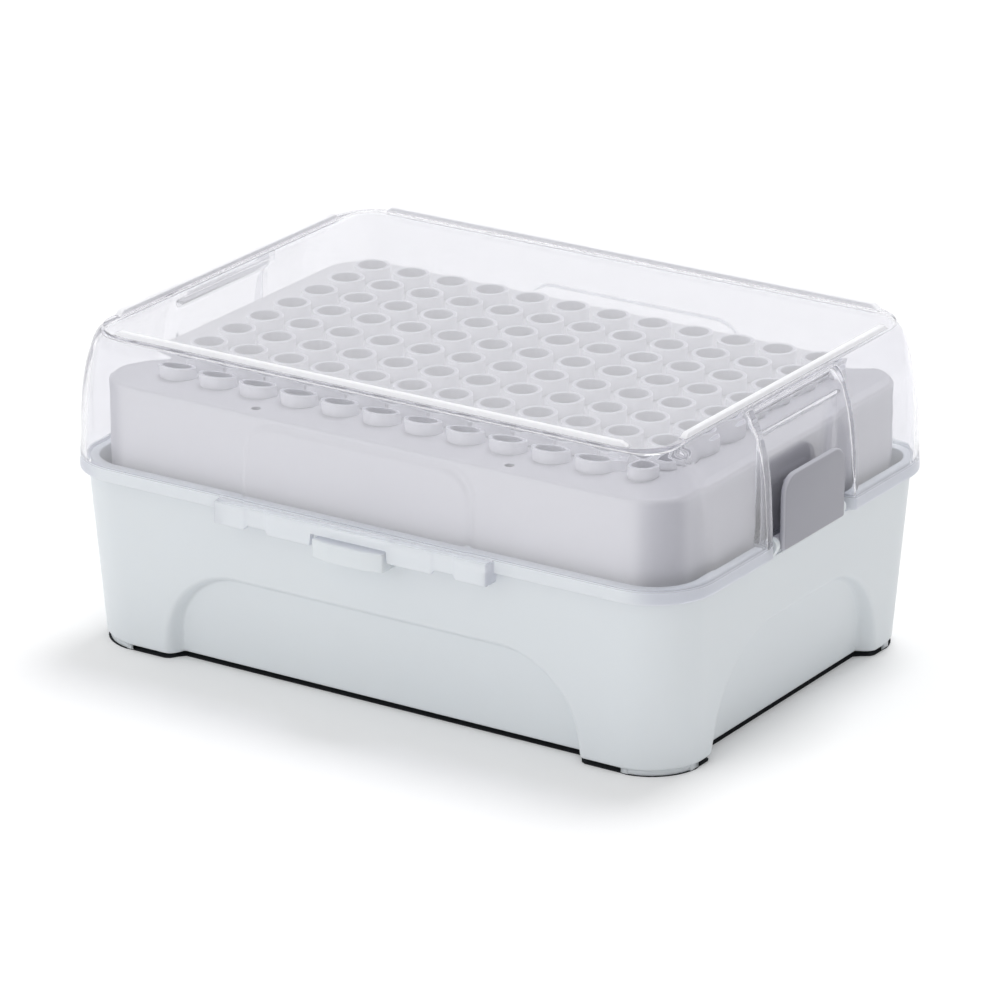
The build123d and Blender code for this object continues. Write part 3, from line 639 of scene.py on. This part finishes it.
def makeLid():
    # one closed skin of top and wall, and prisms that overlap it: hinge arms with knuckles, and stub pins
    edges = np.array([-0.3, -0.12, 0, 0.12, 0.3])    # stations close together across a step
    innerEdges = np.array([-1.5, -1.35, -1.2, -1.05])
    longStops = np.concatenate([[0, 4], lidFlap["cutHalf"] + edges, [12], np.arange(16.2, 25.5, 0.45),
                                [26.5], lidFlap["half"] + innerEdges, lidFlap["half"] + edges,
                                [33, 38, 43, 48]])
    shortStops = np.concatenate([[0, 5, 9, 12, 12.7], np.arange(13.1, 16.6, 0.18),
                                 [18, 22, 27, 31, 34, 34.9, 35.05]])
    ring = ringStations(lidSizes["straightX"], lidSizes["straightY"], longStops, shortStops,
                        lidSizes["cornerSteps"])
    shells = [closedLoops(np.concatenate([lidTop(ring), lidWall(ring)]))]
    arm = hingeArm
    knuckle = np.vstack([arc(pivots["hinge"], arm["round"], -150, 60, 20), arm["root"]])
    pin = arc(pivots["hinge"], arm["pin"], 0, 345, 24)
    for x in arm["places"]:
        shells.append(prism(knuckle, 0, x - arm["half"], x + arm["half"], arm["soft"]))
        for side in (-1, 1):
            low, high = sorted([x + side * arm["pinStart"], x + side * arm["pinEnd"]])
            shells.append(prism(pin, 0, low, high, arm["pinSoft"]))
    makePiece("lidShell", shells, lidMaterial, "lid", "lid")


latchSizes = dict(face=67.0, wall=1.2, half=10.8, low=34.3, high=48.3, round=3.8, footRound=0.6, soft=0.5,
                  barrel=1.25, barrelSoft=0.2, pin=0.6, pinEnd=12.5, pinSoft=0.1,
                  nibHalf=6.0, nibHeight=0.6, nibZ=45.3, nibX=63.7, nibSink=0.3, nibSoft=0.2)


def makeLatch(name, side):
    # pad: a plate with two rounded upper corners; a barrel and pins along its foot, and a nib behind it
    size = latchSizes
    half, back, foot = size["half"], size["face"] - size["wall"], size["footRound"]
    middle, upper, lower = half - size["round"], size["high"] - size["round"], size["low"] + foot
    outline = np.vstack([arc((middle, upper), size["round"], 0, 90, 12),
                         arc((-middle, upper), size["round"], 90, 180, 12),
                         arc((foot - half, lower), foot, 180, 270, 5),
                         arc((half - foot, lower), foot, 270, 360, 5)])
    wide, low, high = size["nibHalf"], size["nibZ"] - size["nibHeight"], size["nibZ"] + size["nibHeight"]
    shells = [prism(outline, 0, back, size["face"], size["soft"]),
              prism(arc(pivots["latch"], size["barrel"], 0, 345, 24), 1, -half, half, size["barrelSoft"]),
              prism(arc(pivots["latch"], size["pin"], 0, 330, 12), 1, -size["pinEnd"], size["pinEnd"],
                    size["pinSoft"]),
              prism([(-wide, low), (wide, low), (wide, high), (-wide, high)], 0,
                    size["nibX"], back + size["nibSink"], size["nibSoft"])]
    if side < 0:
        shells = [(verts * (-1, 1, 1), [face[::-1] for face in faces]) for verts, faces in shells]
    latch = name.replace("Pad", "_latch")
    makePiece(name, shells, latchMaterial, latch, latch)


makeBase()
makeLid()
makeLatch("rightPad", 1)
makeLatch("leftPad", -1)
dress("tip_tray", trayMaterial)
for column in range(12):
    dress(f"tip_column_{column + 1:02d}", tipMaterial)
print("tray and tips dressed")


# floorSize and the sweep are in metres, the contact sizes in mm; the contact colour is a painted shadow under
# the base
studio = dict(floorSize=6.0, floorColour="FAFAFA", lift=0.02, sweepStart=0.3, sweepEnd=0.8, sweepLift=0.4,
              paintedShadowColour="3A3C3F", contactInset=0.4, contactLift=0.03, contactLevel=0.2, padContact=-0.15,
              cornerSteps=12, ambient=0.715, tilt=-0.2)


def raysThatShow(tree):
    # 1 for what the camera sees, straight, through the lid or mirrored, and 0 for what lights the box
    path = addNode(tree, "ShaderNodeLightPath")
    seen = addNode(tree, "ShaderNodeMath", larger,
                   links=[(0, path, "Is Camera Ray"), (1, path, "Is Transmission Ray")])
    return addNode(tree, "ShaderNodeMath", larger, links=[(0, seen, "Value"), (1, path, "Is Glossy Ray")])


def paperSweep():
    # matt white paper; far from the box it turns up into the white backdrop, so it glows for the camera
    material, tree = newMaterial("paperSweep")
    place = addNode(tree, "ShaderNodeTexCoord")
    away = addNode(tree, "ShaderNodeVectorMath", {"operation": "LENGTH"}, links=[(0, place, "Object")])
    lift = addNode(tree, "ShaderNodeMapRange", smooth,
                   {"From Min": studio["sweepStart"], "From Max": studio["sweepEnd"],
                    "To Min": studio["lift"], "To Max": studio["sweepLift"]}, [("Value", away, "Value")])
    glow = addNode(tree, "ShaderNodeMath", product,
                   links=[(0, raysThatShow(tree), "Value"), (1, lift, "Result")])
    paper = addNode(tree, "ShaderNodeBsdfDiffuse", inputs={"Color": linearColour(studio["floorColour"])})
    light = addNode(tree, "ShaderNodeEmission", links=[("Strength", glow, "Value")])
    both = addNode(tree, "ShaderNodeAddShader", links=[(0, paper, "BSDF"), (1, light, "Emission")])
    addNode(tree, "ShaderNodeOutputMaterial", links=[("Surface", both, "Shader")])
    return material


def paintedShadowUnderBase():
    # painted shadow: the paper right under the base, which no light reaches, drawn dark
    material, tree = newMaterial("paintedShadowUnderBase")
    dark = addNode(tree, "ShaderNodeBsdfDiffuse", inputs={"Color": linearColour(studio["paintedShadowColour"])})
    addNode(tree, "ShaderNodeOutputMaterial", links=[("Surface", dark, "BSDF")])
    return material


def makeFloor():
    # a square of paper, and just over it a painted shadow: the base's foot outline, drawn in a little, for
    # the gap under it
    corner = studio["floorSize"] / 2
    square = [(-corner, -corner, 0), (corner, -corner, 0), (corner, corner, 0), (-corner, corner, 0)]
    size = baseSizes
    ring = ringStations(size["straightX"], size["straightY"], np.arange(0, 52, 1.0), np.arange(0, 35, 1.0),
                        studio["cornerSteps"])
    spread = np.where(ring["onCorner"], studio["padContact"], -studio["contactInset"])
    outline = ringPoints(ring, size["footX"], size["footY"], size["corner"], studio["contactLift"],
                         spread - archPress(ring, size["foot"] + studio["contactLevel"]))[0] * mm
    mesh = bpy.data.meshes.new("floor")
    mesh.from_pydata(square + outline.tolist(), [], [(0, 1, 2, 3), list(range(4, 4 + len(outline)))])
    mesh.materials.append(paperSweep())
    mesh.materials.append(paintedShadowUnderBase())
    mesh.polygons[1].material_index = 1
    floor = addObject("floor", mesh)


def makeWorld():
    # white wherever the camera sees it; as light for the box, a room that is a little darker to the right
    world = bpy.data.worlds.new("studio")
    bpy.context.scene.world = world
    world.use_nodes = True
    tree = world.node_tree
    tree.nodes.clear()
    place = addNode(tree, "ShaderNodeTexCoord")
    axes = addNode(tree, "ShaderNodeSeparateXYZ", links=[("Vector", place, "Generated")])
    level = addNode(tree, "ShaderNodeMath", {"operation": "MULTIPLY_ADD"},
                    {1: studio["tilt"], 2: studio["ambient"]}, [(0, axes, "X")])
    ambient = addNode(tree, "ShaderNodeBackground", inputs={"Color": (1, 1, 1, 1)},
                      links=[("Strength", level, "Value")])
    white = addNode(tree, "ShaderNodeBackground", inputs={"Color": (1, 1, 1, 1), "Strength": 1.0})
    mixed = addNode(tree, "ShaderNodeMixShader",
                    links=[("Fac", raysThatShow(tree), "Value"), (1, ambient, "Background"),
                           (2, white, "Background")])
    addNode(tree, "ShaderNodeOutputWorld", links=[("Surface", mixed, "Shader")])


lamps = {
    "keyLamp": dict(place=(-0.3, -1.0, 0.6), aim=(0, 0, 0.03), size=0.6, power=1.5),
    "topLamp": dict(place=(0.0, 0.42, 1.2), aim=(0, 0, 0.03), size=0.45, power=6.7),
}


def makeLamp(name, lamp):
    data = bpy.data.lights.new(name, "AREA")
    data.shape = "SQUARE"
    data.size = lamp["size"]
    data.energy = lamp["power"]
    body = addObject(name, data)
    body.visible_glossy = False    # a wide softbox has no edge that the lid could mirror
    place = np.array(lamp["place"])
    aim = np.array(lamp["aim"]) - place
    body.location = place
    body.rotation_euler = (math.acos(-aim[2] / np.linalg.norm(aim)), 0,
                           math.atan2(aim[1], aim[0]) - math.pi / 2)


# camera in front of the right front corner, well back, looking down on the lid
viewpoint = dict(azimuth=32.737, elevation=20.471, roll=0.178, distance=1.0949,
                 aimHeight=0.0552, shiftRight=0.00005, shiftUp=0.02636, lens=215.03, sensor=36.0)


def makeCamera():
    azimuth, elevation, roll = (math.radians(viewpoint[k]) for k in ("azimuth", "elevation", "roll"))
    back = np.array([math.sin(azimuth) * math.cos(elevation),
                     -math.cos(azimuth) * math.cos(elevation), math.sin(elevation)])
    right = np.array([math.cos(azimuth), math.sin(azimuth), 0.0])
    up = np.cross(back, right)
    across = right * math.cos(roll) + up * math.sin(roll)
    above = up * math.cos(roll) - right * math.sin(roll)
    place = (back * viewpoint["distance"] - across * viewpoint["shiftRight"]
             - above * viewpoint["shiftUp"] + np.array([0, 0, viewpoint["aimHeight"]]))
    data = bpy.data.cameras.new("camera")
    data.lens = viewpoint["lens"]
    data.sensor_width = viewpoint["sensor"]
    camera = addObject("camera", data)
    pose = np.eye(4)
    pose[:3, 0], pose[:3, 1], pose[:3, 2], pose[:3, 3] = across, above, back, place
    camera.matrix_world = Matrix(pose.tolist())
    bpy.context.scene.camera = camera


makeFloor()
makeWorld()
for lampName, lampSizes in lamps.items():
    makeLamp(lampName, lampSizes)
makeCamera()
bpy.context.scene.view_settings.view_transform = "Standard"
print("stage, lamps and camera made")
